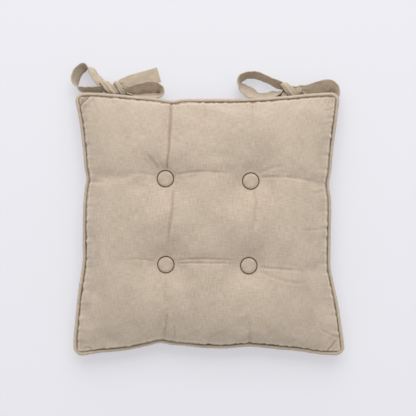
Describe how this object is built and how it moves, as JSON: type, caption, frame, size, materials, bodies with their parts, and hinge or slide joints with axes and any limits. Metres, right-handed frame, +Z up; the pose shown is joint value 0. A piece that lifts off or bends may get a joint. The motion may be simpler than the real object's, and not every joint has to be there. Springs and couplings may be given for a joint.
{
  "type": "tie-on seat pad",
  "caption": "Square tufted seat pad with piped edge, covered buttons and a tied bow of flat tapes at each back corner.",
  "frame": {"origin": "centre of the flat underside, where the pad rests", "axes": "+Z up through the pad's thickness, +Y to the back edge that carries the ties, +X to the pad's right"},
  "size_m": [0.4069, 0.4377, 0.0597],
  "materials": {
    "cover_cloth": "plain-woven linen and cotton cloth, matte",
    "tie_tape": "the cover cloth folded into flat tape, matte",
    "fibre_filling": "carded polyester fibre",
    "cotton": "twisted cotton cord and twine",
    "button_metal": "pressed",
    "backing_plastic": "moulded, matte"
  },
  "bodies": {
    "pad": {"top_panel": "cover_cloth", "bottom_panel": "cover_cloth", "fibre_filling": "fibre_filling", "piping_sleeve": "cover_cloth", "piping_cord": "cotton", "button_cover_back_left": "cover_cloth", "button_cover_back_right": "cover_cloth", "button_cover_front_left": "cover_cloth", "button_cover_front_right": "cover_cloth", "button_shell_back_left": "button_metal", "button_shell_back_right": "button_metal", "button_shell_front_left": "button_metal", "button_shell_front_right": "button_metal", "button_back_back_left": "button_metal", "button_back_back_right": "button_metal", "button_back_front_left": "button_metal", "button_back_front_right": "button_metal", "tuft_twine_back_left": "cotton", "tuft_twine_back_right": "cotton", "tuft_twine_front_left": "cotton", "tuft_twine_front_right": "cotton", "backing_button_back_left": "backing_plastic", "backing_button_back_right": "backing_plastic", "backing_button_front_left": "backing_plastic", "backing_button_front_right": "backing_plastic"},
    "left_tie": {"left_tie_tape_outer": "tie_tape", "left_tie_tape_inner": "tie_tape", "left_tie_knot": "tie_tape"},
    "right_tie": {"right_tie_tape_outer": "tie_tape", "right_tie_tape_inner": "tie_tape", "right_tie_knot": "tie_tape"}
  },
  "joints": [
    {"name": "left_tie_swing", "type": "hinge", "parent": "pad", "child": "left_tie", "pos_m": [-0.143, 0.195, 0.02], "axis": [1, 0, 0], "range_deg": [0, 75]},
    {"name": "right_tie_swing", "type": "hinge", "parent": "pad", "child": "right_tie", "pos_m": [0.1265, 0.195, 0.02], "axis": [1, 0, 0], "range_deg": [0, 75]}
  ]
}
